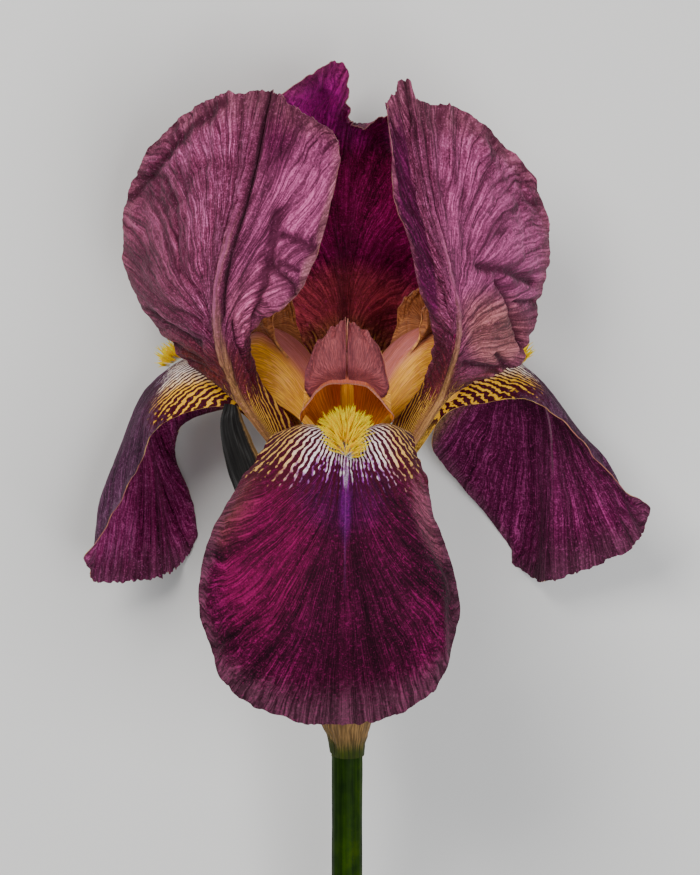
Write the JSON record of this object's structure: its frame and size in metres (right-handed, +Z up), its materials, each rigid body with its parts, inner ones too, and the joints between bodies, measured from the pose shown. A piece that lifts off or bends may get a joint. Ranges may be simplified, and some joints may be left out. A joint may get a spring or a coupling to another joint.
{
  "type": "bearded iris flower",
  "caption": "Cut bearded iris bloom lying on its back: arching falls with hairy beards, domed upright standards, crested style arms, papery bracts and a short stem.",
  "frame": {"origin": "middle of the whole flower's box in plan, on the surface that it lies on", "axes": "+Y from the cut stem towards the tips of the standards, +Z up from the surface and out of the flower's front, +X to the right of its front view"},
  "size_m": [0.1246, 0.2042, 0.0949],
  "materials": {
    "fall": "matte",
    "standard": "matte",
    "style": "matte",
    "stamen": "matte",
    "beard": "matte",
    "bract": "matte",
    "ovary": "satin",
    "stem": "satin"
  },
  "bodies": {
    "root": {"fall_front": "fall", "fall_left": "fall", "fall_right": "fall", "standard_left": "standard", "standard_right": "standard", "standard_back": "standard", "style_front": "style", "style_left": "style", "style_right": "style", "stamen_front": "stamen", "stamen_left": "stamen", "stamen_right": "stamen", "beard_front": "beard", "beard_left": "beard", "beard_right": "beard", "ovary_tube": "ovary", "stem": "stem", "bract_left": "bract", "bract_right": "bract"}
  },
  "joints": []
}
